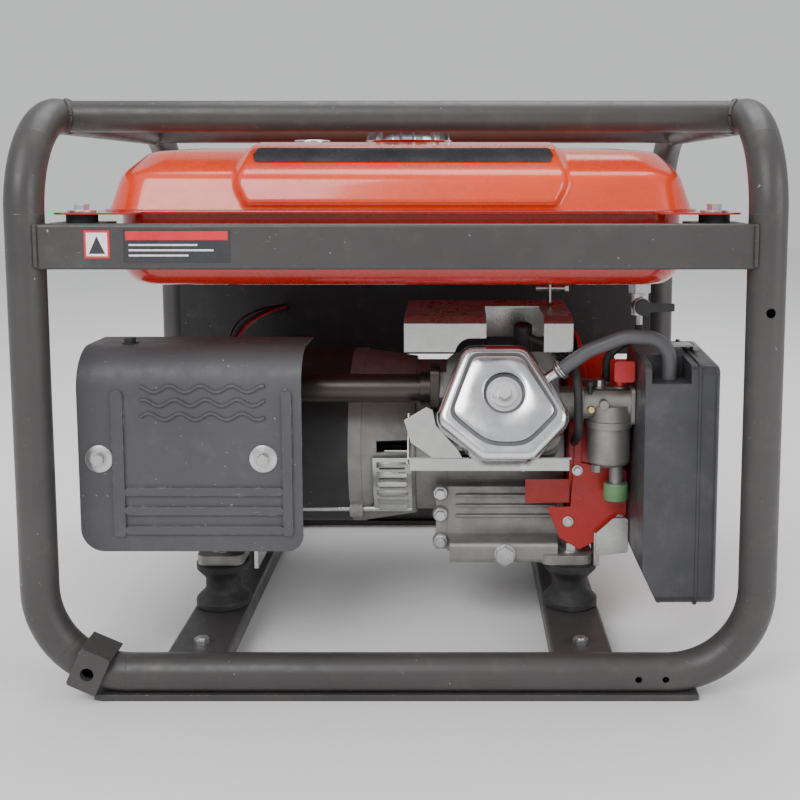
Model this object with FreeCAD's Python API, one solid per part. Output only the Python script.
"""Open-frame portable generator: tube frame, fuel tank, inclined engine, alternator, panel.

Millimetres. The origin is on the floor under the middle of the frame, +Z is up, +X runs
along the crankshaft from the alternator to the air cleaner, and -Y is the exhaust side.
"""
import FreeCAD
import Part

import math
import os

V = FreeCAD.Vector
X_AXIS = V(1, 0, 0)
Y_AXIS = V(0, 1, 0)
Z_AXIS = V(0, 0, 1)

# Frame
FRAME_LENGTH = 690.0
FRAME_WIDTH = 520.0
FRAME_HEIGHT = 550.0
TUBE_R = 17.0
TUBE_WALL = 2.0
TOP_BEND_R = 90.0
LOW_BEND_R = 80.0
SKID_T = 4.5
HOOP_X = FRAME_LENGTH / 2 - TUBE_R
HOOP_Y = FRAME_WIDTH / 2 - TUBE_R
HOOP_TOP = FRAME_HEIGHT - TUBE_R
HOOP_LOW = SKID_T + TUBE_R
RAIL_R = 15.0
RAIL_Y = HOOP_Y - TOP_BEND_R
BAR_Z = (394.5, 434.5)
BAR_Y = (235.0, 255.0)
CHANNEL_XS = (-191.5, 172.0)
CHANNEL_W = 58.0
CHANNEL_Z = (10.0, 30.0)
CHANNEL_T = 3.0
FOOT_Y = 202.0
MOUNT_Y = 104.0
MOUNT_TOP = 77.0
CRATE_HOLE_XS = (218.3, 242.9)
CRATE_HOLE_R = 3.15
AXLE_HOLE_R = 6.1
AXLE_ANGLE = 24.0
PLATE_T = 4.0
POST_HOLE_Z = 356.6
POST_HOLE_R = 4.25

# Fuel tank
TANK_FLOOR_Z = 373.0
TANK_TOP_Z = 504.0
TANK_WALL = 1.6
EAR_X = 287.0
EAR_Y = 215.0
FLANGE_Z = (442.0, 443.7, 445.4)
NECK_AT = V(3, -53, TANK_TOP_Z)
NECK_R = 37.0
CAP_R = 45.5
CAP_Z = (513.0, 525.5)
GAUGE_AT = V(-99, -53, TANK_TOP_Z)
GAUGE_R = 19.0
VALVE_AT = V(235, -133, TANK_FLOOR_Z)

# Engine
CRANK_Z = 186.0
CYL_X = 99.0
CYL_TILT = 25.0
CASE_X = (43.0, 167.0)
CASE_R = 84.0
CASE_FLOOR = 77.0
BORE_R = 44.0
BARREL_TOP = 112.0
HEAD_S = (112.0, 165.0)
COVER_S = (165.0, 200.0)
SHAFT_R = 17.5
SHROUD_X = (169.0, 189.0, 226.0)
SHROUD_R = (115.0, 100.0)
SHEET = 1.5
RECOIL_X = (226.3, 270.0)
RECOIL_R = 84.0
PULLEY_R = 40.0
GRIP_X = 252.0
GRIP_Y = 112.0
PLUG_AXIS = V(0, -0.25, 0.968)
PLUG_AT = V(120, -106, 268)
BREATHER = [V(149.5, -163.8, 286), V(180, -171, 309), V(214, -178, 324), V(256, -182, 322),
            V(256, -182, 283.3)]
BREATHER_AXIS = (BREATHER[1] - BREATHER[0]).normalize()
BREATHER_BENDS = [40, 36, 22]
ALT_LUGS = (42, 138, 222, 318)

# Intake
THROAT = V(0, -135, 250)
THROAT_R = 11.5
CARB_X = (173.0, 229.5)
BOWL_AT = V(206, -135, 188)
BOWL_TOP = 234.0
BOWL_R = 21.5
CHOKE_X = 217.0
THROTTLE_X = 196.0
SHAFT_TOP = 267.0
GOVERNOR_AT = V(162.5, -10, 274.4)
FILTER_X = (230.0, 301.0)
FILTER_SPLIT = 281.0
FILTER_Y = (-203.0, -92.0)
FILTER_Z = (68.0, 300.0)
CLIP_Y = -140.0
CLIP_Z = 308.6

# Exhaust
PIPE_AT = V(0, -130, 264)
PIPE_R = 14.5
GUARD_X = (-299.5, -91.0)
GUARD_Y = -213.0
GUARD_Z = (125.0, 316.0)
GUARD_BEND = 37.0
GUARD_T = 2.0
GUARD_BOLT_XS = (-280.0, -127.0)
GUARD_BOLT_Z = 214.0
MUFFLER_X = (-284.0, -108.0)
MUFFLER_Y = (-196.0, -112.0)
MUFFLER_Z = (142.0, 300.0)

# Alternator
ALT_R = 97.0
STATOR_X = (-200.0, -61.0)
HOUSING_X = (-61.0, 9.0)
BELL_X = (-236.0, -200.0)
ROTOR_R = 68.0

# Control panel
PANEL_X = 300.0
PANEL_Y = (160.0, 232.0)
PANEL_Z = (250.0, 366.0)
FACE_TOP = 392.0
FACE_Y = (BAR_Y[0] - 2.5, BAR_Y[0])
PANEL_MID = 312.0
SOCKET_XS = (70.0, 150.0, 230.0)
METER_X = -50.0
SWITCH_X = -235.0
BREAKER_X = -140.0
TERMINAL_XS = (0.0, 18.0)


# --- shape helpers ---------------------------------------------------------------------

def box(x, y, z):
    """A block between two limits along each axis."""
    return Part.makeBox(x[1] - x[0], y[1] - y[0], z[1] - z[0], V(x[0], y[0], z[0]))


def rod(start, axis, radius, length):
    return Part.makeCylinder(radius, length, start, axis)


def rod_x(x, y, z, radius):
    """A rod along X between two limits."""
    return rod(V(x[0], y, z), X_AXIS, radius, x[1] - x[0])


def rod_y(x, y, z, radius):
    return rod(V(x, y[0], z), Y_AXIS, radius, y[1] - y[0])


def rod_z(x, y, z, radius):
    return rod(V(x, y, z[0]), Z_AXIS, radius, z[1] - z[0])


def ring_x(x, y, z, outer, inner):
    return rod_x(x, y, z, outer).cut(rod_x(x, y, z, inner))


def corner_arc(before, corner, after, radius):
    """Start, middle and end of the tangent arc that rounds a corner."""
    back = (before - corner).normalize()
    ahead = (after - corner).normalize()
    half = back.getAngle(ahead) / 2
    reach = radius / math.tan(half)
    middle = corner + (back + ahead).normalize() * (radius / math.sin(half) - radius)
    return corner + back * reach, middle, corner + ahead * reach


def joined(stops):
    """A wire through (start, middle, end) arcs and (point,) corners, in order."""
    edges = []
    at = stops[0][-1]
    for stop in stops[1:]:
        if at.distanceToPoint(stop[0]) > 0.001:
            edges.append(Part.LineSegment(at, stop[0]).toShape())
        if len(stop) == 3:
            edges.append(Part.Arc(*stop).toShape())
        at = stop[-1]
    return Part.Wire(edges)


def rounded_wire(points, radii):
    """A closed outline with an arc at each corner. A radius of zero keeps it sharp."""
    stops = []
    for i, radius in enumerate(radii):
        before = points[i - 1]
        after = points[(i + 1) % len(points)]
        sharp = radius <= 0
        stops.append((points[i],) if sharp else corner_arc(before, points[i], after, radius))
    return joined([stops[-1]] + stops)


def bend_wire(points, radii):
    """Straight runs joined by tangent arcs, with one radius for each inner point."""
    stops = [(points[0],)]
    for i, radius in enumerate(radii):
        stops.append(corner_arc(points[i], points[i + 1], points[i + 2], radius))
    stops.append((points[-1],))
    return joined(stops)


def bent_rod(points, radii, radius):
    """A round bar that follows straight runs and tangent arcs."""
    path = bend_wire(points, radii)
    heading = (points[1] - points[0]).normalize()
    section = Part.Wire([Part.makeCircle(radius, points[0], heading)])
    return Part.Wire(path).makePipeShell([section], True, False)


def slab(points, radii, depth):
    """A closed outline with rounded corners, pushed along the depth vector."""
    return Part.Face(rounded_wire(points, radii)).extrude(depth)


def slab_x(outline, x, radius=0.0):
    """An outline of (y, z) points, between two X limits."""
    points = [V(x[0], y, z) for y, z in outline]
    return slab(points, [radius] * len(points), V(x[1] - x[0], 0, 0))


def slab_y(outline, y, radius=0.0):
    """An outline of (x, z) points, between two Y limits."""
    points = [V(px, y[0], pz) for px, pz in outline]
    return slab(points, [radius] * len(points), V(0, y[1] - y[0], 0))


def slab_z(outline, z, radius=0.0):
    """An outline of (x, y) points, between two Z limits."""
    points = [V(px, py, z[0]) for px, py in outline]
    return slab(points, [radius] * len(points), V(0, 0, z[1] - z[0]))


def rectangle(a, b):
    """The four corners of a rectangle, given its limits along two axes."""
    return [(a[0], b[0]), (a[1], b[0]), (a[1], b[1]), (a[0], b[1])]


def hexagon(start, axis, flats, height):
    """A hexagonal prism, by its width across flats."""
    side = V(0, 0, 1) if abs(axis.z) < 0.5 else V(1, 0, 0)
    side = (side - axis * side.dot(axis)).normalize()
    other = axis.cross(side)
    reach = flats / math.sqrt(3)
    corners = []
    for i in range(7):
        turn = math.radians(60 * i)
        corners.append(start + side * (reach * math.cos(turn)) + other * (reach * math.sin(turn)))
    return Part.Face(Part.makePolygon(corners)).extrude(axis * height)


def bolt(at, axis, flats=10.0, head=5.0, flange=8.0, shank=3.0, length=0.0):
    """A flanged hexagon bolt. The head stands out along the axis and the shank goes in."""
    shape = hexagon(at + axis * 1.2, axis, flats, head)
    shape = shape.fuse(rod(at, axis, flange, 1.5))
    if length > 0:
        shape = shape.fuse(rod(at + axis * 0.5, axis * -1, shank, length + 0.5))
    return shape


def both_sides(shape):
    """The shape and its mirror image across the XZ plane."""
    return [shape, shape.mirror(V(0, 0, 0), Y_AXIS)]


def tilt(shape):
    """Turn a shape built along -Y at crank height into line with the inclined cylinder."""
    turned = shape.copy()
    turned.rotate(V(0, 0, CRANK_Z), X_AXIS, -CYL_TILT)
    return turned


def save(name, *shapes):
    """Write one node. Several shapes stay separate solids."""
    solids = []
    for shape in shapes:
        solids.extend(shape.Solids)
    node = solids[0] if len(solids) == 1 else Part.makeCompound(solids)
    node.exportStep("parts/" + name + ".step")


os.makedirs("parts", exist_ok=True)


# --- frame -----------------------------------------------------------------------------

def bend(centre, start, finish, radius):
    """A quarter bend as two half bends. Start and finish point from its centre."""
    halfway = (start + finish).normalize() * start.Length
    pieces = []
    for a, b in ((start, halfway), (halfway, finish)):
        middle = (a + b).normalize() * start.Length
        arc = Part.Arc(centre + a, centre + middle, centre + b).toShape()
        axis = a.cross(b).normalize()
        section = Part.Wire([Part.makeCircle(radius, centre + a, axis.cross(a).normalize())])
        pieces.append(Part.Wire([arc]).makePipeShell([section], True, False))
    return pieces


def hoop_bars(radius):
    """The front hoop as solid lengths, end to end: bottom run, posts, side runs and bends."""
    low_reach = HOOP_X - LOW_BEND_R
    post = (HOOP_LOW + LOW_BEND_R, HOOP_TOP - TOP_BEND_R)
    bars = [rod_x((-low_reach, low_reach), -HOOP_Y, HOOP_LOW, radius)]
    for side in (-1, 1):
        x = side * HOOP_X
        bars.append(rod_z(x, -HOOP_Y, post, radius))
        bars.append(rod_y(x, (TOP_BEND_R - HOOP_Y, 0), HOOP_TOP, radius))
        low_centre = V(side * low_reach, -HOOP_Y, post[0])
        bars += bend(low_centre, V(side * LOW_BEND_R, 0, 0), V(0, 0, -LOW_BEND_R), radius)
        top_centre = V(x, TOP_BEND_R - HOOP_Y, post[1])
        bars += bend(top_centre, V(0, -TOP_BEND_R, 0), V(0, 0, TOP_BEND_R), radius)
    return bars


def drilled_lengths(lengths, holes):
    """Cut each hole from the lengths that it meets."""
    result = []
    for length in lengths:
        for hole in holes:
            if length.BoundBox.intersect(hole.BoundBox):
                length = length.cut(hole)
        result.append(length)
    return result


def hoop():
    """One bent tube, length by length, with its crate holes and the hole in its right post."""
    reach = (-HOOP_Y - 2 * TUBE_R, -HOOP_Y + 2 * TUBE_R)
    holes = [rod_y(x, reach, HOOP_LOW, CRATE_HOLE_R) for x in CRATE_HOLE_XS]
    holes.append(rod_y(HOOP_X, reach, POST_HOLE_Z, POST_HOLE_R))
    inner = hoop_bars(TUBE_R - TUBE_WALL)
    tubes = [bar.cut(core) for bar, core in zip(hoop_bars(TUBE_R), inner)]
    return drilled_lengths(tubes, holes)


def axle_bore():
    """The room for a wheel axle through the lower left bend."""
    turn = math.radians(AXLE_ANGLE)
    x = -HOOP_X + LOW_BEND_R - LOW_BEND_R * math.sin(turn)
    z = HOOP_LOW + LOW_BEND_R - LOW_BEND_R * math.cos(turn)
    return rod_y(x, (-FRAME_WIDTH, FRAME_WIDTH), z, AXLE_HOLE_R)


def turned(shape):
    """The same shape turned half round the vertical axis."""
    copy = shape.copy()
    copy.rotate(V(0, 0, 0), Z_AXIS, 180)
    return copy


front_bars = hoop_bars(TUBE_R)
rear_bars = [turned(bar) for bar in front_bars]
save("hoop_front", *drilled_lengths(hoop(), [axle_bore()]))
save("hoop_rear", *drilled_lengths([turned(length) for length in hoop()], [axle_bore()]))


def coped(shape):
    """Cut the ends of a member to the round of the hoops that it is welded to."""
    for bar in front_bars + rear_bars:
        if shape.BoundBox.intersect(bar.BoundBox):
            shape = shape.cut(bar)
    return shape


def top_rail(y):
    span = (-HOOP_X, HOOP_X)
    return coped(ring_x(span, y, HOOP_TOP, RAIL_R, RAIL_R - TUBE_WALL)).Solids[0]


def tank_bar():
    """Flat box bar between the posts, with rounded edges and an open inside."""
    span = (-HOOP_X, HOOP_X)
    outer = slab_x(rectangle((-BAR_Y[1], -BAR_Y[0]), BAR_Z), span, 3.0)
    inner = slab_x(rectangle((-BAR_Y[1] + 2, -BAR_Y[0] - 2), (BAR_Z[0] + 2, BAR_Z[1] - 2)), span)
    pieces = coped(outer.cut(inner)).Solids
    return max(pieces, key=lambda piece: piece.Volume)


def cross_channel(x):
    """Inverted U channel between the bottom runs, with a bolt hole over each foot."""
    half = CHANNEL_W / 2
    span = (-HOOP_Y, HOOP_Y)
    low, high = CHANNEL_Z
    outline = [(x - half, low), (x - half, high), (x + half, high), (x + half, low)]
    inner = (half - CHANNEL_T)
    inside = [(x + inner, low), (x + inner, high - CHANNEL_T), (x - inner, high - CHANNEL_T),
              (x - inner, low)]
    channel = slab_y(outline, span, 3.5).cut(slab_y(inside, span))
    channel = channel.cut(box((x - half, x + half), span, (low - 5, low + 4)))
    channel = coped(channel).Solids[0]
    for y in (-FOOT_Y, FOOT_Y):
        channel = channel.cut(rod_z(x, y, (0, 50), 4.2))
    for y in (-MOUNT_Y, MOUNT_Y):
        channel = channel.cut(rod_z(x, y, (0, 50), 5.2))
    return channel


save("top_rails", top_rail(-RAIL_Y), top_rail(RAIL_Y))
save("tank_bars", *both_sides(tank_bar()))
save("cross_channels", *[cross_channel(x) for x in CHANNEL_XS])


def skid_strip():
    """Flat strip welded under a bottom run, with its ends turned up."""
    top = SKID_T + 1.5
    points = [(-277, 1.5), (-269, 0), (266, 0), (274, 1.5), (274, top), (-277, top)]
    strip = slab_y(points, (-HOOP_Y - 14, -HOOP_Y + 14))
    return coped(strip).Solids[0]


def axle_bracket():
    """Hooked plate on the lower left bend, with the axle hole over the tube's middle."""
    face = -HOOP_Y - TUBE_R
    plate = slab_y(rectangle((-14.5, 14.5), (-16, TUBE_R + PLATE_T)), (face - PLATE_T, face), 3.0)
    hook = box((-14.5, 14.5), (face - 1, face + 32), (TUBE_R + 0.2, TUBE_R + PLATE_T))
    bracket = plate.fuse(hook).cut(rod_y(0, (face - 10, face + 1), 0, AXLE_HOLE_R))
    bracket.rotate(V(0, 0, LOW_BEND_R), Y_AXIS, AXLE_ANGLE)
    bracket.translate(V(-HOOP_X + LOW_BEND_R, 0, HOOP_LOW))
    return coped(bracket)


def tank_bracket(side):
    """Shelf behind a tank bar, with a leg down its back, under one tank mount."""
    inner = -BAR_Y[0]
    shelf = slab_z(rectangle((side * EAR_X - 24, side * EAR_X + 24), (inner, inner + 46)),
                   (BAR_Z[1] - 3, BAR_Z[1]), 4.0)
    leg = box((side * EAR_X - 24, side * EAR_X + 24), (inner, inner + 3),
              (BAR_Z[1] - 34, BAR_Z[1] - 3))
    hole = rod_z(side * EAR_X, -EAR_Y, (BAR_Z[1] - 10, BAR_Z[1] + 5), 4.4)
    return shelf.fuse(leg).cut(hole)


plates = both_sides(skid_strip()) + both_sides(axle_bracket())
plates += both_sides(tank_bracket(-1)) + both_sides(tank_bracket(1))
save("frame_plates", *plates)


def rubber_foot(x, y):
    """Tapered foot under a channel, cupped for its bolt head."""
    body = Part.makeCone(19, 22, CHANNEL_Z[1] - CHANNEL_T, V(x, y, 0), Z_AXIS)
    body = body.cut(rod_z(x, y, (-1, 8), 10))
    return body.cut(rod_z(x, y, (0, 50), 4.1))


def engine_mount(x, y):
    """Waisted rubber block between a channel and a foot of the engine."""
    low = CHANNEL_Z[1]
    profile = [V(5.2, 0, 0), V(28.5, 0, 0), V(28.5, 0, 7), V(18.5, 0, 17), V(18.5, 0, 30),
               V(27.5, 0, 40), V(27.5, 0, MOUNT_TOP - low), V(5.2, 0, MOUNT_TOP - low)]
    face = Part.Face(rounded_wire(profile, [0, 2, 2, 8, 8, 2, 2, 0]))
    spool = face.revolve(V(0, 0, 0), Z_AXIS, 360)
    spool.translate(V(x, y, low))
    return spool


feet = []
mounts = []
bolts = []
for channel_x in CHANNEL_XS:
    for side_y in (-1, 1):
        foot_y = side_y * FOOT_Y
        mount_y = side_y * MOUNT_Y
        feet.append(rubber_foot(channel_x, foot_y))
        mounts.append(engine_mount(channel_x, mount_y))
        foot_bolt = rod_z(channel_x, foot_y, (8, 36), 4.0)
        foot_bolt = foot_bolt.fuse(hexagon(V(channel_x, foot_y, 2.5), Z_AXIS, 13, 5.5))
        foot_bolt = foot_bolt.fuse(hexagon(V(channel_x, foot_y, 30.1), Z_AXIS, 13, 5.0))
        bolts.append(foot_bolt)
        stud = rod_z(channel_x, mount_y, (20, 100), 5.0)
        stud = stud.fuse(hexagon(V(channel_x, mount_y, 18), Z_AXIS, 16, 8.8))
        stud = stud.fuse(hexagon(V(channel_x, mount_y, 88.6), Z_AXIS, 16, 8.0))
        stud = stud.fuse(rod_z(channel_x, mount_y, (87.1, 88.6), 12))
        bolts.append(stud)
        for side_x in (-1, 1):
            if channel_x < 0:
                at = V(side_x * EAR_X, side_y * EAR_Y, FLANGE_Z[1] + 0.1)
                tank_bolt = bolt(at, Z_AXIS, 12, 6, 12.5, 3.8, 17)
                bolts.append(tank_bolt)
save("rubber_feet", *feet)
save("engine_mounts", *mounts)
save("frame_bolts", *bolts)


# --- fuel tank -------------------------------------------------------------------------

def plan(z, half_x, half_y, radius):
    """A rounded rectangle round the tank's middle, at one height."""
    corners = rectangle((-half_x, half_x), (-half_y, half_y))
    return rounded_wire([V(x, y, z) for x, y in corners], [radius] * 4)


def upper_form(inset):
    """The upper shell's outer form, or its inside when inset by the sheet's thickness."""
    levels = [(FLANGE_Z[1] + 0.1, 278, 203, 42), (478, 267, 192, 36), (500, 249, 149, 30),
              (TANK_TOP_Z, 215, 110, 24)]
    wires = []
    for z, half_x, half_y, radius in levels:
        drop = 0 if z < 450 else inset
        wires.append(plan(z - drop, half_x - inset, half_y - inset, radius))
    return Part.makeLoft(wires, True, True)


def bulge(inset):
    """The broad raised panel in the middle of the upper shell's front slope."""
    profile = [(-212, 452), (-204, 481), (-156, 506), (-120, 506), (-120, 452)]
    half = 148 - inset
    points = [V(-half + 3, y + inset, z - inset) for y, z in profile]
    return slab(points, [6, 10, 14, 0, 0], V(2 * half, 0, 0))


def upper_shell():
    """Pressed top with its flange, filler neck and gauge seat."""
    shell = upper_form(0).fuse(bulge(0)).cut(upper_form(TANK_WALL).fuse(bulge(TANK_WALL)))
    seat = Part.makeCone(52, 39, 8, NECK_AT - V(0, 0, 1), Z_AXIS)
    neck = rod(NECK_AT - V(0, 0, 3), Z_AXIS, NECK_R, 18)
    gauge_seat = Part.makeCone(27, 22, 4.5, GAUGE_AT - V(0, 0, 1), Z_AXIS)
    shell = shell.fuse(seat).fuse(neck).fuse(gauge_seat)
    shell = shell.cut(rod(NECK_AT - V(0, 0, 10), Z_AXIS, NECK_R - 3, 40))
    return shell.cut(rod(GAUGE_AT - V(0, 0, 10), Z_AXIS, 15, 30))


def lower_form(inset):
    """Deep lower pressing with rounded bottom edges."""
    wire = plan(TANK_FLOOR_Z + inset, 268 - inset, 193 - inset, 40 - inset)
    block = Part.Face(wire).extrude(V(0, 0, FLANGE_Z[0] - TANK_FLOOR_Z - inset))
    low = [e for e in block.Edges if e.BoundBox.ZMax < TANK_FLOOR_Z + inset + 0.1]
    return block.makeFillet(22 - inset, low)


def lower_shell():
    flange = Part.Face(plan(FLANGE_Z[0], 277, 202, 42)).extrude(V(0, 0, FLANGE_Z[1] - FLANGE_Z[0]))
    for side_x in (-1, 1):
        for side_y in (-1, 1):
            ear = slab_z(rectangle((-54, 22), (-54, 22)), FLANGE_Z[:2], 14.0)
            if side_x < 0:
                ear = ear.mirror(V(0, 0, 0), X_AXIS)
            if side_y < 0:
                ear = ear.mirror(V(0, 0, 0), Y_AXIS)
            ear.translate(V(side_x * EAR_X, side_y * EAR_Y, 0))
            flange = flange.fuse(ear)
            flange = flange.cut(rod_z(side_x * EAR_X, side_y * EAR_Y, (430, 450), 4.2))
    inside = Part.Face(plan(FLANGE_Z[0] - 1, 268 - TANK_WALL, 193 - TANK_WALL, 40 - TANK_WALL))
    shell = lower_form(0).fuse(flange).cut(inside.extrude(V(0, 0, 5)))
    return shell.cut(lower_form(TANK_WALL))


def fuel_cap():
    """Screwed cap with a scalloped grip, hollow over the filler neck."""
    low, high = CAP_Z
    cap = rod_z(NECK_AT.x, NECK_AT.y, (low, high), CAP_R)
    cap = cap.makeFillet(3.0, [e for e in cap.Edges if e.BoundBox.ZMin > high - 0.1])
    cap = cap.cut(rod_z(NECK_AT.x, NECK_AT.y, (low - 1, high - 3.5), CAP_R - 5.5))
    for i in range(14):
        turn = 2 * math.pi * i / 14
        x = NECK_AT.x + (CAP_R + 5) * math.cos(turn)
        y = NECK_AT.y + (CAP_R + 5) * math.sin(turn)
        cap = cap.cut(rod_z(x, y, (low - 1, high + 1), 7.5))
    return cap


def fuel_strainer():
    """Basket that hangs in the filler neck by its lip."""
    cup = rod(NECK_AT - V(0, 0, 49), Z_AXIS, 32.5, 64.5)
    cup = cup.fuse(rod(NECK_AT + V(0, 0, 15.1), Z_AXIS, 36, 1.2))
    return cup.cut(rod(NECK_AT - V(0, 0, 48), Z_AXIS, 31.5, 80))


def fuel_gauge():
    """Dial cup with its chrome ring, and the float stem below it."""
    ring = rod(GAUGE_AT + V(0, 0, 3.6), Z_AXIS, GAUGE_R, 6.4)
    ring = ring.makeFillet(1.5, [e for e in ring.Edges if e.BoundBox.ZMin > TANK_TOP_Z + 9.9])
    ring = ring.cut(rod(GAUGE_AT + V(0, 0, 5), Z_AXIS, 15.6, 10))
    stem = rod(GAUGE_AT - V(0, 0, 70), Z_AXIS, 3, 60)
    return ring.fuse(rod(GAUGE_AT - V(0, 0, 12), Z_AXIS, 14.6, 15.7)).fuse(stem)


def gauge_needle():
    hub = rod(GAUGE_AT + V(0, 0, 5.4), Z_AXIS, 2.2, 2.4)
    blade = box((-1, 1), (0, 12.5), (TANK_TOP_Z + 6, TANK_TOP_Z + 7))
    blade.translate(V(GAUGE_AT.x, GAUGE_AT.y, 0))
    return hub.fuse(blade)


def fuel_valve():
    x, y, top = VALVE_AT
    body = hexagon(V(x, y, top - 12), Z_AXIS, 19, 11.9)
    body = body.fuse(rod_z(x, y, (top - 34, top - 12), 8.5))
    body = body.fuse(rod_y(x, (y - 19, y), top - 24, 8.5))
    return body.fuse(rod_z(x, y, (top - 44, top - 34), 3.2))


def valve_lever():
    x, y, top = VALVE_AT
    z = top - 24
    lever = rod_y(x, (y - 25, y - 19.3), z, 8.0)
    arm = slab_y([(x, z - 5), (x + 30, z - 3.5), (x + 30, z + 3.5), (x, z + 5)], (y - 25, y - 19.8))
    return lever.fuse(arm)


def fuel_hose():
    x, y, top = VALVE_AT
    route = [V(x, y, top - 44.2), V(x, y, top - 55), V(x - 18, y + 8, top - 67),
             V(x - 30, y + 15, top - 80), V(x - 30, y + 15, top - 103.8)]
    return bent_rod(route, [8, 14, 12], 4.0)


save("tank_upper_shell", upper_shell())
save("tank_lower_shell", lower_shell())
pads = []
for pad_x in (-EAR_X, EAR_X):
    for pad_y in (-EAR_Y, EAR_Y):
        pad = rod_z(pad_x, pad_y, (BAR_Z[1], FLANGE_Z[0]), 14)
        pads.append(pad.cut(rod_z(pad_x, pad_y, (430, 450), 4.3)))
save("tank_pads", *pads)
save("fuel_strainer", fuel_strainer())
save("fuel_cap", fuel_cap())
save("fuel_gauge", fuel_gauge())
save("gauge_needle", gauge_needle())
save("fuel_valve", fuel_valve())
save("valve_lever", valve_lever())
save("fuel_hose", fuel_hose())


# --- engine ----------------------------------------------------------------------------

def ahead(s):
    """The place along -Y, before tilting, of a distance along the cylinder."""
    return -s


def cylinder_block(half_x, half_t, s, radius=0.0):
    """A block across the cylinder between two distances along it, before tilting."""
    outline = rectangle((CYL_X - half_x, CYL_X + half_x), (CRANK_Z - half_t, CRANK_Z + half_t))
    return slab_y(outline, (ahead(s[1]), ahead(s[0])), radius)


def governor_room():
    """Slot in the fins beside the barrel where the governor lever swings."""
    z = GOVERNOR_AT.z
    return box((141, 178), (-114, -2), (z - 1.5, z + 9))


def crankcase():
    """Crank chamber, sump, feet and finned barrel in one casting."""
    x0, x1 = CASE_X
    shape = rod_x(CASE_X, 0, CRANK_Z, CASE_R)
    shape = shape.fuse(box(CASE_X, (-88, 88), (CASE_FLOOR + 3, 150)))
    shape = shape.fuse(slab_x(rectangle((-118, 118), (CASE_FLOOR, 99)), (x0 + 3, x1 - 9), 5.0))
    foot = slab_z(rectangle((x0 + 97, 194), (68, 123)), (CASE_FLOOR, CASE_FLOOR + 10), 12.0)
    for side in both_sides(foot):
        shape = shape.fuse(side)
    barrel = cylinder_block(49, 49, (50, BARREL_TOP), 20.0)
    for i in range(4):
        s = CASE_R + 2 + 7.6 * i
        barrel = barrel.fuse(cylinder_block(56, 53, (s, s + 2.6), 16.0))
    shape = shape.fuse(tilt(barrel))
    filler = rod(V(74, 84, 96), V(0, 0.866, 0.5), 13, 34)
    shape = shape.fuse(filler)
    shape = shape.cut(rod_x((x0 - 1, x1 - 10), 0, CRANK_Z, CASE_R - 8))
    shape = shape.cut(rod_x((x1 - 12, x1 + 1), 0, CRANK_Z, SHAFT_R + 0.06))
    shape = shape.cut(tilt(rod_y(CYL_X, (-130, -20), CRANK_Z, BORE_R)))
    shape = shape.cut(box((x0 - 1, x1 - 14), (-80, 80), (CASE_FLOOR + 11, 140)))
    shape = shape.cut(rod(V(74, 70, 87.9), V(0, 0.866, 0.5), 9, 60))
    for y in (-MOUNT_Y, MOUNT_Y):
        shape = shape.cut(rod_z(CHANNEL_XS[1], y, (60, 120), 5.2))
    return shape.cut(governor_room())


def crankcase_cover():
    """Side casting that closes the crank chamber and carries the alternator."""
    span = (HOUSING_X[1] + 0.1, CASE_X[0] - 0.1)
    shape = rod_x(span, 0, CRANK_Z, CASE_R)
    shape = shape.fuse(box((CASE_X[0] - 12, span[1]), (-88, 88), (CASE_FLOOR + 5, 150)))
    shape = shape.cut(rod_x((span[0] + 7, span[1] + 1), 0, CRANK_Z, CASE_R - 10))
    shape = shape.cut(box((CASE_X[0] - 9, span[1] + 1), (-80, 80), (CASE_FLOOR + 12, 140)))
    return shape.cut(rod_x((span[0] - 1, span[1]), 0, CRANK_Z, SHAFT_R + 0.06))


def cylinder_head():
    """Finned head with exhaust and inlet stubs and a slanting plug hole."""
    core = cylinder_block(46, 46, (HEAD_S[0] + 0.1, HEAD_S[1]), 14.0)
    for i in range(5):
        s = HEAD_S[0] + 5 + 8.5 * i
        core = core.fuse(cylinder_block(57, 52, (s, s + 2.6), 14.0))
    flange = cylinder_block(56, 50, (HEAD_S[1] - 6, HEAD_S[1]), 16.0)
    head = tilt(core.fuse(flange))
    stubs = rod_x((36, 70), PIPE_AT.y, PIPE_AT.z, 19)
    stubs = stubs.fuse(rod_x((130, CARB_X[0] - 0.1), THROAT.y, THROAT.z, 17))
    beyond = tilt(cylinder_block(90, 90, (HEAD_S[1], COVER_S[1] + 20)))
    head = head.fuse(stubs.cut(beyond))
    head = head.cut(rod_x((35, 75), PIPE_AT.y, PIPE_AT.z, 12))
    head = head.cut(rod_x((125, CARB_X[0] + 1), THROAT.y, THROAT.z, 11.5))
    chamber = tilt(rod_y(CYL_X, (-HEAD_S[0] - 9, -HEAD_S[0] + 1), CRANK_Z, BORE_R - 4))
    head = head.cut(chamber)
    pocket = rod(PLUG_AT - PLUG_AXIS * 2, PLUG_AXIS, 14, 60)
    head = head.cut(pocket).cut(governor_room())
    return head.cut(rod(PLUG_AT - PLUG_AXIS * 19, PLUG_AXIS, 6.2, 20))


def rocker_outline(inset, s):
    """Six-sided cover outline, before tilting, at a distance along the cylinder."""
    corners = [(-40, 49), (23, 49), (66, -25), (26, -65), (-22, -65), (-68, -27)]
    points = []
    for dx, dz in corners:
        shrink = 1 - inset / 52
        points.append(V(CYL_X + dx * shrink, ahead(s), CRANK_Z + dz * shrink))
    return points


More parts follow.
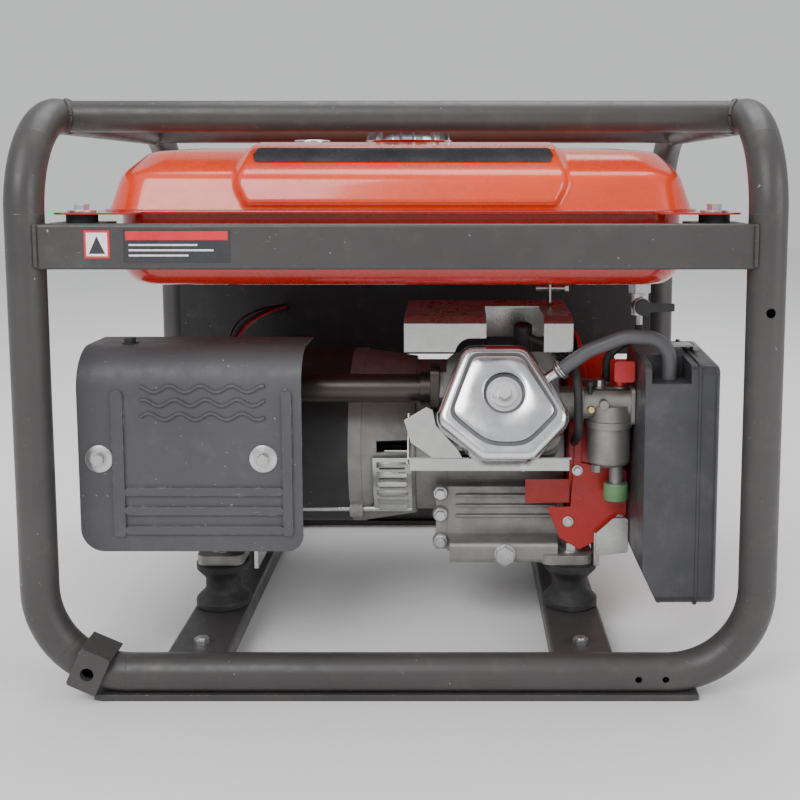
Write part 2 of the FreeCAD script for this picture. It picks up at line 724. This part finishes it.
def rocker_cover():
    """Deep pressed cover with a rolled face edge, a bolt recess and a breather stub."""
    low, high = COVER_S
    skirt = slab(rocker_outline(0, high), [16] * 6, V(0, high - low - 0.1, 0))
    front = [e for e in skirt.Edges if e.BoundBox.YMax < -high + 0.1]
    skirt = skirt.makeFillet(9.0, front)
    inside = slab(rocker_outline(4, high - 4), [13] * 6, V(0, high - low - 3, 0))
    recess = rod_y(CYL_X, (-high - 1, -high + 7), CRANK_Z, 20)
    pocket = rod_y(CYL_X, (-high, -high + 10), CRANK_Z, 23)
    cover = skirt.cut(inside.cut(pocket)).cut(recess)
    cover = tilt(cover.cut(rod_y(CYL_X, (-high, -low), CRANK_Z, 4.2)))
    stub = rod(BREATHER[0] - BREATHER_AXIS * 26, BREATHER_AXIS, 5.5, 38)
    inner = tilt(inside)
    return cover.fuse(stub.cut(inner))


def crankshaft():
    """One shaft from the rotor to the starter, with a throw between two webs."""
    shape = rod_x((-224, 9), 0, CRANK_Z, 15)
    shape = shape.fuse(rod_x((9, 78), 0, CRANK_Z, SHAFT_R))
    shape = shape.fuse(rod_x((120, 176), 0, CRANK_Z, SHAFT_R))
    shape = shape.fuse(rod_x((176, 234), 0, CRANK_Z, 13))
    throw = V(0, -32, 0)
    for x in (75, 111):
        web = rod_x((x, x + 12), 0, CRANK_Z, 55)
        web = web.common(box((x, x + 12), (-60, 60), (CRANK_Z - 36, CRANK_Z + 36)))
        shape = shape.fuse(tilt(web))
    pin = rod_x((80, 118), throw.y, CRANK_Z, 15)
    return shape.fuse(tilt(pin))


def piston():
    """Piston at the top of its stroke, hollow underneath, and its gudgeon pin."""
    crown = rod_y(CYL_X, (-107, -62), CRANK_Z, BORE_R - 0.2)
    hollow = rod_y(CYL_X, (-100, -60), CRANK_Z, BORE_R - 6)
    hole = rod_x((CYL_X - 60, CYL_X + 60), -80, CRANK_Z, 8.0)
    pin = rod_x((CYL_X - 38, CYL_X + 38), -80, CRANK_Z, 8.0)
    return tilt(crown.cut(hollow).cut(hole)), tilt(pin.cut(rod_x((0, 200), -80, CRANK_Z, 5)))


def flywheel():
    """Heavy wheel with cast fan blades, and the starter cup bolted on its face."""
    wheel = rod_x((177, 197), 0, CRANK_Z, 90).cut(rod_x((183, 198), 0, CRANK_Z, 72))
    wheel = wheel.fuse(rod_x((177, 213.9), 0, CRANK_Z, 26))
    blade = box((196, 216), (-1.5, 1.5), (CRANK_Z + 56, CRANK_Z + 88))
    blade = blade.fuse(box((182, 200), (-1.5, 1.5), (CRANK_Z + 20, CRANK_Z + 74)))
    blade.rotate(V(200, 0, CRANK_Z + 70), Z_AXIS, 12)
    for i in range(16):
        copy = blade.copy()
        copy.rotate(V(0, 0, CRANK_Z), X_AXIS, 22.5 * i)
        wheel = wheel.fuse(copy)
    cup = rod_x((214, 232), 0, CRANK_Z, 36).cut(rod_x((216, 233), 0, CRANK_Z, 34))
    bore = rod_x((170, 240), 0, CRANK_Z, 13.05)
    return wheel.cut(bore), cup.cut(bore)


def fan_shroud():
    """Stepped sheet housing round the flywheel, with its front tab and rolled lip."""
    x0, x1, x2 = SHROUD_X
    wide, narrow = SHROUD_R
    shape = rod_x((x0, x1), 0, CRANK_Z, wide).fuse(rod_x((x0, x2), 0, CRANK_Z, narrow))
    inner = rod_x((x0 + SHEET, x1 - SHEET), 0, CRANK_Z, wide - SHEET)
    inner = inner.fuse(rod_x((x0 + SHEET, x2 - SHEET), 0, CRANK_Z, narrow - SHEET))
    shape = shape.cut(inner)
    shape = shape.cut(rod_x((x0 - 1, x0 + SHEET), 0, CRANK_Z, 46))
    shape = shape.cut(rod_x((x2 - 5, x2 + 1), 0, CRANK_Z, 74))
    shape = shape.cut(box((x0 - 1, x1 - 4), (-62, 40), (CRANK_Z + 60, CRANK_Z + 130)))
    tab = box((124, x0 + 1), (-112, -110.5), (CRANK_Z - 46, CRANK_Z - 21))
    return shape.fuse(tab)


def cooling_shrouds():
    """Upper cowl over the head, open below, and the deflector under the head."""
    span = (2.0, 166.5)
    outline = [(-162, 306), (-162, 334), (-150, 340), (-60, 345), (-60, 306)]
    cowl = slab_x(outline, span)
    inside = [(-160.5, 305), (-160.5, 333), (-149.6, 338.5), (-61.5, 343.4), (-61.5, 305)]
    cowl = cowl.cut(slab_x(inside, (span[0] + SHEET, span[1] - SHEET)))
    cowl = cowl.cut(box((82, 138), (-170, -96), (290, 360)))
    cowl = cowl.cut(tilt(slab(rocker_outline(-4, COVER_S[1] + 9), [16] * 6, V(0, 60, 0))))
    hose = bent_rod(BREATHER, BREATHER_BENDS, 9.0)
    cowl = cowl.cut(hose)
    plate = cylinder_block(80, 1, (118, 162))
    plate.translate(V(-14, 0, -57))
    side = box((CYL_X - 94, CYL_X - 92.5), (-162, -118), (CRANK_Z - 57, CRANK_Z - 12))
    return cowl, tilt(plate.fuse(side))


def recoil_cover():
    """Domed starter cover with a slotted face, a pulley post and a rope guide."""
    x0, x1 = RECOIL_X
    shape = rod_x(RECOIL_X, 0, CRANK_Z, RECOIL_R)
    shape = shape.makeFillet(10.0, [e for e in shape.Edges if e.BoundBox.XMin > x1 - 0.1])
    shape = shape.fuse(rod_x((x0, x0 + 2), 0, CRANK_Z, RECOIL_R + 5))
    shape = shape.cut(rod_x((x0 - 1, x1 - 2), 0, CRANK_Z, RECOIL_R - 2).cut(
        rod_x((x1 - 12, x1), 0, CRANK_Z, RECOIL_R).cut(rod_x((x1 - 12, x1), 0, CRANK_Z, 76))))
    shape = shape.fuse(rod_x((239, x1 - 1), 0, CRANK_Z, 8))
    slot = box((x1 - 20, x1 + 1), (-2.5, 2.5), (CRANK_Z + 30, CRANK_Z + 68))
    for i in range(16):
        copy = slot.copy()
        copy.rotate(V(0, 0, CRANK_Z), X_AXIS, 22.5 * i + 11.25)
        shape = shape.cut(copy)
    guide_z = CRANK_Z + PULLEY_R
    shape = shape.fuse(rod_y(GRIP_X, (71, 84), guide_z, 9))
    return shape.cut(rod_y(GRIP_X, (60, 90), guide_z, 3.5))


def recoil_pulley():
    x = GRIP_X
    wheel = rod_x((x - 9, x + 9), 0, CRANK_Z, PULLEY_R + 4)
    groove = ring_x((x - 3, x + 3), 0, CRANK_Z, PULLEY_R + 10, PULLEY_R - 3)
    return wheel.cut(groove).cut(rod_x((x - 20, x + 20), 0, CRANK_Z, 8.06))


def recoil_grip():
    """T grip that rests against the rope guide."""
    z = CRANK_Z + PULLEY_R
    bar = rod_x((GRIP_X - 38, GRIP_X + 38), GRIP_Y, z, 10)
    bar = bar.makeFillet(6.0, [e for e in bar.Edges if len(e.Vertexes) == 1])
    return bar.fuse(Part.makeCone(7, 9, GRIP_Y - 84.4, V(GRIP_X, 84.4, z), Y_AXIS))


def ignition_coil():
    core = box((179, 187), (-16, 16), (CRANK_Z + 91, CRANK_Z + 104))
    return core.fuse(box((174.5, 187), (-12, 12), (CRANK_Z + 93, CRANK_Z + 110)))


def spark_plug():
    shape = rod(PLUG_AT - PLUG_AXIS * 14, PLUG_AXIS, 6.1, 14)
    shape = shape.fuse(hexagon(PLUG_AT, PLUG_AXIS, 19, 9))
    return shape.fuse(rod(PLUG_AT + PLUG_AXIS * 9, PLUG_AXIS, 5, 24))


def plug_lead():
    """Rubber cap over the plug and the thick lead to the coil."""
    cap = rod(PLUG_AT + PLUG_AXIS * 14, PLUG_AXIS, 9.5, 48)
    cap = cap.makeFillet(3.0, [e for e in cap.Edges if e.BoundBox.ZMin > 316])
    cap = cap.cut(rod(PLUG_AT + PLUG_AXIS * 13, PLUG_AXIS, 5.1, 20.5))
    start = PLUG_AT + PLUG_AXIS * 50
    route = [start, V(150, -138, 306), V(168, -150, 292), V(172, -159, 272), V(173, -162, 225),
             V(174, -115, 205)]
    return cap.fuse(bent_rod(route, [14, 16, 20, 16], 4.2))


def breather_hose():
    first = BREATHER[0] + BREATHER_AXIS * 1.0
    hose = bent_rod([first] + BREATHER[1:], BREATHER_BENDS, 7.0)
    return hose.cut(rod(BREATHER[0] - BREATHER_AXIS, BREATHER_AXIS, 5.55, 13.4))


def oil_dipstick():
    axis = V(0, 0.866, 0.5)
    base = V(74, 84, 96) + axis * 34.3
    cap = rod(base, axis, 14.5, 9)
    wing = rod(base + axis * 8, axis, 5, 9)
    stick = rod(base - axis * 46, axis, 2.5, 47)
    return cap.fuse(wing).fuse(stick).fuse(rod(base - axis * 14, axis, 8.8, 15))


def on_cylinder(x, t, s):
    """A point on the tilted cylinder: across, up from its axis, and along it."""
    point = Part.Vertex(x, ahead(s), CRANK_Z + t)
    point.rotate(V(0, 0, CRANK_Z), X_AXIS, -CYL_TILT)
    return point.Point


def engine_bolts():
    """Rocker cover bolt, head bolts, cover bolts, drain bolt and alternator rods."""
    lean = math.radians(CYL_TILT)
    along = V(0, -math.cos(lean), math.sin(lean))
    parts = [bolt(on_cylinder(CYL_X, 0, COVER_S[1] - 6.9), along, 12, 7, 13, 4, 14)]
    parts.append(bolt(V(103, -118, 87), V(0, -1, 0), 17, 8, 11, 5))
    parts.append(bolt(V(74, 118, 87), V(0, 1, 0), 17, 8, 11, 5))
    reach = BELL_X[1] - BELL_X[0] + STATOR_X[1] - STATOR_X[0] + HOUSING_X[1] - HOUSING_X[0]
    for turn in ALT_LUGS:
        y = ALT_R * math.cos(math.radians(turn))
        z = CRANK_Z + ALT_R * math.sin(math.radians(turn))
        start = V(BELL_X[0] - 1.6, y, z)
        stud = hexagon(start, V(-1, 0, 0), 10, 6).fuse(rod(start, X_AXIS, 3.0, reach - 2))
        parts.append(stud.fuse(rod(start, X_AXIS, 7, 1.5)))
    return parts


save("crankcase", crankcase())
save("crankcase_cover", crankcase_cover())
save("cylinder_head", cylinder_head())
save("rocker_cover", rocker_cover())
save("engine_bolts", *engine_bolts())
save("piston", *piston())
save("crankshaft", crankshaft())
save("flywheel", *flywheel())
save("fan_shroud", fan_shroud())
save("cooling_shrouds", *cooling_shrouds())
save("recoil_cover", recoil_cover())
save("recoil_pulley", recoil_pulley())
save("recoil_grip", recoil_grip())
save("ignition_coil", ignition_coil())
save("spark_plug", spark_plug())
save("plug_lead", plug_lead())
save("breather_hose", breather_hose())
save("oil_dipstick", oil_dipstick())


# --- intake ----------------------------------------------------------------------------

def square_x(x, half, radius):
    """A rounded square plate across the carburettor's throat."""
    y, z = THROAT.y, THROAT.z
    return slab_x(rectangle((y - half, y + half), (z - half, z + half)), x, radius)


def carburettor():
    """Throat tube, end flanges, float chamber roof and the two shaft bosses."""
    y, z = THROAT.y, THROAT.z
    shape = rod_x(CARB_X, y, z, 16).fuse(square_x((CARB_X[0], CARB_X[0] + 5), 19, 6))
    shape = shape.fuse(square_x((CARB_X[1] - 4, CARB_X[1] - 0.2), 19, 6))
    x0, y0 = BOWL_AT.x, BOWL_AT.y
    shape = shape.cut(rod_z(x0, y0, (BOWL_TOP - 8, BOWL_TOP + 0.2), BOWL_R + 2.3))
    shape = shape.fuse(rod_z(x0, y0, (BOWL_TOP + 0.2, z), BOWL_R + 1))
    shape = shape.fuse(rod_z(THROTTLE_X, y, (z, SHAFT_TOP), 6.5))
    shape = shape.fuse(rod_z(CHOKE_X, y, (z, SHAFT_TOP), 6.5))
    shape = shape.fuse(rod_z(x0 - 1, y0 + 15, (z - 5, z + 19), 3.2))
    shape = shape.fuse(rod_y(x0 - 8, (y - 25, y), z + 3, 4.5))
    return shape.cut(rod_x((CARB_X[0] - 1, CARB_X[1] + 1), y, z, THROAT_R))


def float_bowl():
    """Bowl with its rolled rim and drain screw, and the cut-off solenoid below it."""
    x, y, low = BOWL_AT
    bowl = rod_z(x, y, (low, BOWL_TOP), BOWL_R)
    bowl = bowl.makeFillet(6.0, [e for e in bowl.Edges if e.BoundBox.ZMax < low + 0.1])
    bowl = bowl.fuse(rod_z(x, y, (BOWL_TOP - 7, BOWL_TOP), BOWL_R + 2))
    bowl = bowl.cut(rod_z(x, y, (low + 1.5, BOWL_TOP + 1), BOWL_R - 1.5))
    bowl = bowl.fuse(hexagon(V(x - 13, y - 12, low - 5), Z_AXIS, 9, 7))
    coil = rod_z(x + 8, y, (low - 19, low - 0.2), 7)
    coil = coil.fuse(rod_z(x + 8, y, (low - 36, low - 19), 11.5))
    coil = coil.makeFillet(3.0, [e for e in coil.Edges if e.BoundBox.ZMax < low - 35.9])
    return bowl, coil


def choke_lever():
    """Red paddle on a short arm over the throat's outer end."""
    y, z = THROAT.y, THROAT.z
    hub = rod_z(CHOKE_X, y, (SHAFT_TOP + 0.3, z + 34), 4.5)
    arm = box((CHOKE_X - 3.5, CHOKE_X + 3.5), (y - 24, y), (z + 29, z + 33))
    face = rectangle((CHOKE_X - 10, CHOKE_X + 10), (z + 26, z + 47))
    paddle = slab_y(face, (y - 26.5, y - 24), 3.0)
    return hub.fuse(arm).fuse(paddle)


def throttle_arm():
    y, z = THROAT.y, THROAT.z
    hub = rod_z(THROTTLE_X, y, (SHAFT_TOP + 0.3, z + 24), 5)
    arm = slab_z([(THROTTLE_X - 2, y - 4), (THROTTLE_X + 3, y + 3), (THROTTLE_X - 22, y + 27),
                  (THROTTLE_X - 27, y + 20)], (z + 20, z + 22), 2.0)
    return hub.fuse(arm)


def governor_arm():
    """Long lever beside the barrel, with the hooked rod that reaches the throttle arm."""
    x, y, z = GOVERNOR_AT
    hub = rod_z(x, y, (z - 4, z + 8), 5)
    arm = box((x - 3, x + 3), (y - 84, y), (z, z + 2.5))
    tip = V(x, y - 80, z + 1)
    end = V(THROTTLE_X - 24, THROAT.y + 24, z + 1)
    link = rod(tip, (end - tip).normalize(), 1.2, (end - tip).Length)
    return hub.fuse(arm).fuse(link)


def filter_box(x, inset):
    """The air cleaner's outline along X, with a top that rises towards the rear."""
    y0, y1 = FILTER_Y
    z0, z1 = FILTER_Z
    outline = [(y0 + inset, z0 + inset), (y0 + inset, z1 - inset), (y1 - inset, z1 + 8 - inset),
               (y1 - inset, z0 + inset)]
    return slab_x(outline, x, 9 - inset)


def air_cleaner_case():
    """Deep case, open towards its cover, with a pocket for the breather hose."""
    x0 = FILTER_X[0]
    x1 = FILTER_SPLIT - 0.2
    pocket = ((x0 + 6, x0 + 43), (FILTER_Y[0] - 1, FILTER_Y[0] + 43), (BREATHER[4].z - 0.3, 330))
    wall = ((x0 + 4, x0 + 45), (FILTER_Y[0] - 3, FILTER_Y[0] + 45), (BREATHER[4].z - 2.3, 330))
    shape = filter_box((x0, x1), 0).cut(box(*pocket))
    shape = shape.cut(filter_box((x0 + 2, x1 + 1), 2.2).cut(box(*wall)))
    triangle = [(x0 - 1, 66), (x0 + 16, 66), (x0 - 1, 104)]
    corner = slab_y(triangle, (FILTER_Y[0] - 1, FILTER_Y[1] + 1))
    shape = shape.cut(corner)
    plate = slab_y([(x0, 104), (x0 + 2, 104), (x0 + 17.5, 70), (x0 + 15.5, 70)],
                   (FILTER_Y[0] + 1, FILTER_Y[1] - 1))
    shape = shape.fuse(plate)
    shape = shape.cut(rod_x((x0 - 1, x0 + 6), THROAT.y, THROAT.z, 12))
    return shape.cut(rod_z(BREATHER[4].x, BREATHER[4].y, (270, 290), 5))


def air_cleaner_cover():
    x0 = FILTER_SPLIT
    x1 = FILTER_X[1]
    shape = filter_box((x0, x1), 0)
    face = [e for e in shape.Edges if e.BoundBox.XMin > x1 - 0.1]
    shape = shape.makeFillet(6.0, face)
    return shape.cut(filter_box((x0 - 1, x1 - 2.5), 2.5))


def filter_element():
    y0, y1 = FILTER_Y
    return slab_x(rectangle((y0 + 5, y1 - 5), (112, 270)), (250, 286), 8.0)


def air_cleaner_clip():
    """Spring strap hinged on the cover's top edge and hooked over the case."""
    pivot = V(288, 0, CLIP_Z)
    barrel = rod_y(pivot.x, (CLIP_Y - 12, CLIP_Y + 12), pivot.z, 3)
    strap = box((259, pivot.x), (CLIP_Y - 10, CLIP_Y + 10), (CLIP_Z + 0.6, CLIP_Z + 2.4))
    hook = box((257.5, 259.5), (CLIP_Y - 10, CLIP_Y + 10), (CLIP_Z - 3, CLIP_Z + 2.4))
    return barrel.fuse(strap).fuse(hook)


save("carburettor", carburettor())
save("float_bowl", *float_bowl())
save("choke_lever", choke_lever())
save("throttle_arm", throttle_arm())
save("governor_arm", governor_arm())
save("air_cleaner_case", air_cleaner_case())
save("air_cleaner_cover", air_cleaner_cover())
save("filter_element", filter_element())
save("air_cleaner_clip", air_cleaner_clip())


# --- exhaust ---------------------------------------------------------------------------

def exhaust_pipe():
    """Straight pipe into the muffler, with its bolted flange at the head."""
    span = (MUFFLER_X[1] - 8, 35.8)
    y, z = PIPE_AT.y, PIPE_AT.z
    shape = rod_x(span, y, z, PIPE_R)
    plate = slab_x(rectangle((y - 17, y + 17), (z - 24, z + 24)), (27, 35.8), 9.0)
    shape = shape.fuse(plate).fuse(rod_x((17, 27), y, z, PIPE_R + 3))
    return shape.cut(rod_x((span[0] - 1, span[1] + 1), y, z, PIPE_R - 1.5))


def muffler():
    """Pressed drum with a seam round its middle and an outlet on its far end."""
    outline = rectangle(MUFFLER_Y, MUFFLER_Z)
    inside = rectangle((MUFFLER_Y[0] + SHEET, MUFFLER_Y[1] - SHEET),
                       (MUFFLER_Z[0] + SHEET, MUFFLER_Z[1] - SHEET))
    shape = slab_x(outline, MUFFLER_X, 34.0)
    middle = (MUFFLER_X[0] + MUFFLER_X[1]) / 2
    seam = rectangle((MUFFLER_Y[0] - 3, MUFFLER_Y[1] + 3), (MUFFLER_Z[0] - 3, MUFFLER_Z[1] + 3))
    shape = shape.fuse(slab_x(seam, (middle - 2, middle + 2), 37.0))
    shape = shape.fuse(rod_x((MUFFLER_X[0] - 10, MUFFLER_X[0] + 1), -150, 182, 12))
    shape = shape.cut(slab_x(inside, (MUFFLER_X[0] + SHEET, MUFFLER_X[1] - SHEET), 32.5))
    shape = shape.cut(rod_x((MUFFLER_X[0] - 11, MUFFLER_X[0] + 2), -150, 182, 10))
    mouth = rod_x((MUFFLER_X[1] - 5, MUFFLER_X[1] + 1), PIPE_AT.y, PIPE_AT.z, PIPE_R + 0.1)
    return shape.cut(mouth)


def guard_profile(inset):
    """The guard's bend, from its lower edge up and back over the muffler."""
    y = GUARD_Y + inset
    z = GUARD_Z[1] - inset
    return [V(GUARD_X[0], y, GUARD_Z[0]), V(GUARD_X[0], y, z), V(GUARD_X[0], -127, z)]


def muffler_guard():
    """Bent sheet in front of and over the muffler, with raised ribs and two bolt holes."""
    outer = joined([(guard_profile(0)[0],), corner_arc(*guard_profile(0), GUARD_BEND),
                    (guard_profile(0)[2],)])
    back = guard_profile(GUARD_T)[::-1]
    inner = joined([(back[0],), corner_arc(*back, GUARD_BEND - GUARD_T), (back[2],)])
    ends = [Part.makeLine(guard_profile(0)[2], back[0]), Part.makeLine(back[2], guard_profile(0)[0])]
    wire = Part.Wire(outer.Edges + [ends[0]] + inner.Edges + [ends[1]])
    sheet = Part.Face(wire).extrude(V(GUARD_X[1] - GUARD_X[0], 0, 0))
    x0, x1 = GUARD_X
    z0, z1 = GUARD_Z
    trim = [V(x0, GUARD_Y - 5, z0), V(x0, GUARD_Y - 5, z1 + 9), V(x1, GUARD_Y - 5, z1 + 9),
            V(x1, GUARD_Y - 5, z0)]
    sheet = sheet.common(slab(trim, [22, 0, 0, 15], V(0, 100, 0)))
    ribs = [((x0 + 32, x0 + 43), (140, 278)), ((x1 - 18, x1 - 9), (140, 278))]
    for i in range(3):
        ribs.append(((x0 + 43, x1 - 18), (142 + 18.5 * i, 150 + 18.5 * i)))
    for span, height in ribs:
        rib = slab_y(rectangle(span, height), (GUARD_Y - 2.6, GUARD_Y + 1), 3.0)
        sheet = sheet.fuse(rib)
    for x in GUARD_BOLT_XS:
        sheet = sheet.cut(rod_y(x, (GUARD_Y - 9, GUARD_Y + 9), GUARD_BOLT_Z, 3.6))
    return sheet


def stay_brackets():
    """Muffler spacers, the air cleaner stay, the cable post and the muffler's foot."""
    parts = []
    for x in GUARD_BOLT_XS:
        spacer = rod_y(x, (GUARD_Y + 2.1, MUFFLER_Y[0] - 0.1), GUARD_BOLT_Z, 6)
        head = bolt(V(x, GUARD_Y - 0.1, GUARD_BOLT_Z), V(0, -1, 0), 10, 5, 8, 3.2, 5)
        parts.append(spacer.fuse(head))
    plate = slab_y([(196, 88), (229, 92), (229, 128), (214, 128), (196, 112)],
                   (-126, -123.5), 3.0)
    parts.append(plate.fuse(box((194.2, 200), (-124, -100), (77, 112))))
    post = box((149, 151), (-90, -66), (345.5, 368))
    stop = rod_x((136, 166), -78, 360, 3).fuse(hexagon(V(166, -78, 360), X_AXIS, 9, 4))
    parts.append(post.fuse(stop))
    foot = box((-150, -146), (-150, -100), (84, 138.5))
    parts.append(foot.fuse(box((-168, -140), (-150, -146), (120, 138.8))))
    return parts


save("exhaust_pipe", exhaust_pipe())
save("muffler", muffler())
save("muffler_guard", muffler_guard())
save("stay_brackets", *stay_brackets())


# --- alternator ------------------------------------------------------------------------

def stator():
    """Laminated ring with a copper winding at each end."""
    x0, x1 = STATOR_X
    ring = ring_x((x0 + 0.1, x1 - 0.1), 0, CRANK_Z, ALT_R, ROTOR_R + 1.5)
    low = ring_x((x0 - 14, x0), 0, CRANK_Z, 87, 72)
    high = ring_x((x1, x1 + 16), 0, CRANK_Z, 87, 72)
    return [drilled(piece) for piece in (ring, low, high)]


def rotor():
    """Salient two-pole rotor pressed on the shaft."""
    x0, x1 = STATOR_X
    wheel = rod_x((x0 + 4, x1 - 4), 0, CRANK_Z, ROTOR_R)
    for side in (-1, 1):
        z = CRANK_Z + side * 52
        wheel = wheel.cut(box((x0, x1), (-38, 38), (z - 17, z + 17)))
    return wheel.cut(rod_x((x0, x1), 0, CRANK_Z, 15.03))


def lugs(shape, x):
    """Add an ear at each through bolt, and its hole."""
    for turn in ALT_LUGS:
        y = ALT_R * math.cos(math.radians(turn))
        z = CRANK_Z + ALT_R * math.sin(math.radians(turn))
        shape = shape.fuse(rod_x(x, y, z, 9))
    return shape


def alternator_housing():
    """Drive-end casting with two rows of air outlets."""
    x0, x1 = HOUSING_X
    shape = lugs(rod_x((x0, x0 + 14), 0, CRANK_Z, ALT_R), (x0, x0 + 14))
    shape = shape.fuse(Part.makeCone(ALT_R - 1, 88, x1 - x0 - 14, V(x0 + 14, 0, CRANK_Z), X_AXIS))
    shape = shape.cut(rod_x((x0 - 1, x1 - 7), 0, CRANK_Z, ALT_R - 9))
    shape = shape.cut(Part.makeCone(88, 80, x1 - x0 - 18, V(x0 + 11, 0, CRANK_Z), X_AXIS))
    shape = shape.cut(rod_x((x1 - 8, x1 + 1), 0, CRANK_Z, 30))
    for side in (-1, 1):
        for i in range(6):
            z = CRANK_Z - 66 + 10 * i
            shape = shape.cut(box((x0 + 26, x1 - 12), sorted((side * 120, side * 40)), (z, z + 5)))
        window = box((x0 + 30, x1 - 8), sorted((side * 120, side * 40)), (CRANK_Z + 2, CRANK_Z + 14))
        shape = shape.cut(window)
    return drilled(shape)


def drilled(shape):
    for turn in ALT_LUGS:
        y = ALT_R * math.cos(math.radians(turn))
        z = CRANK_Z + ALT_R * math.sin(math.radians(turn))
        shape = shape.cut(rod_x((-300, 100), y, z, 3.2))
    return shape


def end_bell():
    """Rear casting with the outer bearing seat, its air slots and the alternator's feet."""
    x0, x1 = BELL_X
    shape = lugs(rod_x(BELL_X, 0, CRANK_Z, ALT_R), (x0, x1))
    shape = shape.cut(rod_x((x0 + 6, x1 + 1), 0, CRANK_Z, ALT_R - 8))
    shape = shape.fuse(rod_x((x0, x0 + 20), 0, CRANK_Z, 26))
    shape = shape.cut(rod_x((x0 + 2, x1), 0, CRANK_Z, 15.06))
    slot = box((x0 - 1, x0 + 8), (-4, 4), (CRANK_Z + 34, CRANK_Z + 78))
    for i in range(12):
        copy = slot.copy()
        copy.rotate(V(0, 0, CRANK_Z), X_AXIS, 30 * i)
        shape = shape.cut(copy)
    x = CHANNEL_XS[0]
    foot = slab_z(rectangle((x - 24, x + 24), (-124, 124)), (CASE_FLOOR, CASE_FLOOR + 10), 10.0)
    web = box((x1 - 12, x1 - 4), (-70, 70), (CASE_FLOOR + 5, CRANK_Z - 60))
    web = web.cut(rod_x((x1 - 20, x1), 0, CRANK_Z, ALT_R - 4))
    shape = shape.fuse(foot.cut(rod_x((x1 - 1, 0), 0, CRANK_Z, ALT_R + 1.5))).fuse(web)
    for y in (-MOUNT_Y, MOUNT_Y):
        shape = shape.cut(rod_z(x, y, (60, 120), 5.2))
    return drilled(shape)


save("stator", *stator())
save("rotor", rotor())
save("alternator_housing", alternator_housing())
save("end_bell", end_bell())


# --- control panel ---------------------------------------------------------------------

def panel_box():
    """Sheet box behind the panel face, open towards it."""
    outer = box((-PANEL_X, PANEL_X), (PANEL_Y[0], FACE_Y[0] - 0.1), PANEL_Z)
    inner = box((-PANEL_X + 1.5, PANEL_X - 1.5), (PANEL_Y[0] + 1.5, FACE_Y[0] + 1),
                (PANEL_Z[0] + 1.5, PANEL_Z[1] - 1.5))
    return outer.cut(inner)


def panel_face():
    """Front plate with its cut-outs and two tabs behind the rear tank bar."""
    plate = slab_y(rectangle((-PANEL_X - 4, PANEL_X + 4), (PANEL_Z[0], FACE_TOP)), FACE_Y, 6.0)
    for x in (-200, 200):
        plate = plate.fuse(box((x - 16, x + 16), FACE_Y, (FACE_TOP - 2, FACE_TOP + 26)))
    span = (FACE_Y[0] - 1, FACE_Y[1] + 1)
    for x in SOCKET_XS:
        plate = plate.cut(rod_y(x, span, PANEL_MID, 22.2))
    for x in TERMINAL_XS:
        plate = plate.cut(rod_y(x, span, PANEL_MID - 30, 4.2))
    plate = plate.cut(box((METER_X - 22, METER_X + 22), span, (PANEL_MID - 22, PANEL_MID + 22)))
    plate = plate.cut(box((SWITCH_X - 9.5, SWITCH_X + 9.5), span, (PANEL_MID - 17, PANEL_MID + 17)))
    return plate.cut(box((BREAKER_X - 5, BREAKER_X + 5), span, (PANEL_MID - 16, PANEL_MID + 16)))


def socket(x):
    """Recessed round outlet with two pin holes and a flat rim."""
    body = rod_y(x, (FACE_Y[0] - 30, FACE_Y[1] + 0.1), PANEL_MID, 22)
    body = body.fuse(rod_y(x, (FACE_Y[1] + 0.1, FACE_Y[1] + 4), PANEL_MID, 28))
    body = body.cut(rod_y(x, (FACE_Y[1] - 12, FACE_Y[1] + 5), PANEL_MID, 19.5))
    for side in (-9.5, 9.5):
        body = body.cut(rod_y(x + side, (FACE_Y[0] - 20, FACE_Y[1]), PANEL_MID, 2.4))
    return body


def terminal(x):
    stem = rod_y(x, (FACE_Y[0] - 8, FACE_Y[1] + 8), PANEL_MID - 30, 4)
    return stem.fuse(hexagon(V(x, FACE_Y[1] + 0.1, PANEL_MID - 30), Y_AXIS, 13, 5))


def voltmeter():
    case = box((METER_X - 21.8, METER_X + 21.8), (FACE_Y[0] - 22, FACE_Y[1] + 1),
               (PANEL_MID - 21.8, PANEL_MID + 21.8))
    rim = slab_y(rectangle((METER_X - 26, METER_X + 26), (PANEL_MID - 26, PANEL_MID + 26)),
                 (FACE_Y[1] + 0.1, FACE_Y[1] + 7), 4.0)
    window = slab_y(rectangle((METER_X - 21, METER_X + 21), (PANEL_MID - 12, PANEL_MID + 21)),
                    (FACE_Y[1] + 4.5, FACE_Y[1] + 8), 2.0)
    return case.fuse(rim).cut(window)


def engine_switch():
    """Rocker, resting with its lower end in."""
    y, z = FACE_Y[0] - 2, PANEL_MID
    outline = [(y - 4, z - 13), (y + 7.5, z - 13), (y + 5, z), (y + 7.5, z + 13), (y - 4, z + 13)]
    rocker = slab_x(outline, (SWITCH_X - 8.5, SWITCH_X + 8.5))
    rocker = rocker.fuse(rod_x((SWITCH_X - 9.2, SWITCH_X + 9.2), y, z, 2.0))
    rocker.rotate(V(0, y, z), X_AXIS, -10)
    return rocker


def breaker_lever():
    """Toggle, resting at the lower end of its slot."""
    y, z = FACE_Y[0] - 6, PANEL_MID
    lever = rod_x((BREAKER_X - 4.5, BREAKER_X + 4.5), y, z, 5)
    handle = slab_x([(y, z - 3), (y + 24, z - 4.5), (y + 24, z + 4.5), (y, z + 3)],
                    (BREAKER_X - 3.5, BREAKER_X + 3.5), 1.0)
    lever = lever.fuse(handle)
    lever.rotate(V(0, y, z), X_AXIS, -20)
    return lever


sockets = [socket(x) for x in SOCKET_XS] + [terminal(x) for x in TERMINAL_XS]
save("panel_box", panel_box())
save("panel_face", panel_face())
save("panel_sockets", *sockets)
save("voltmeter", voltmeter())
save("engine_switch", engine_switch())
save("breaker_lever", breaker_lever())
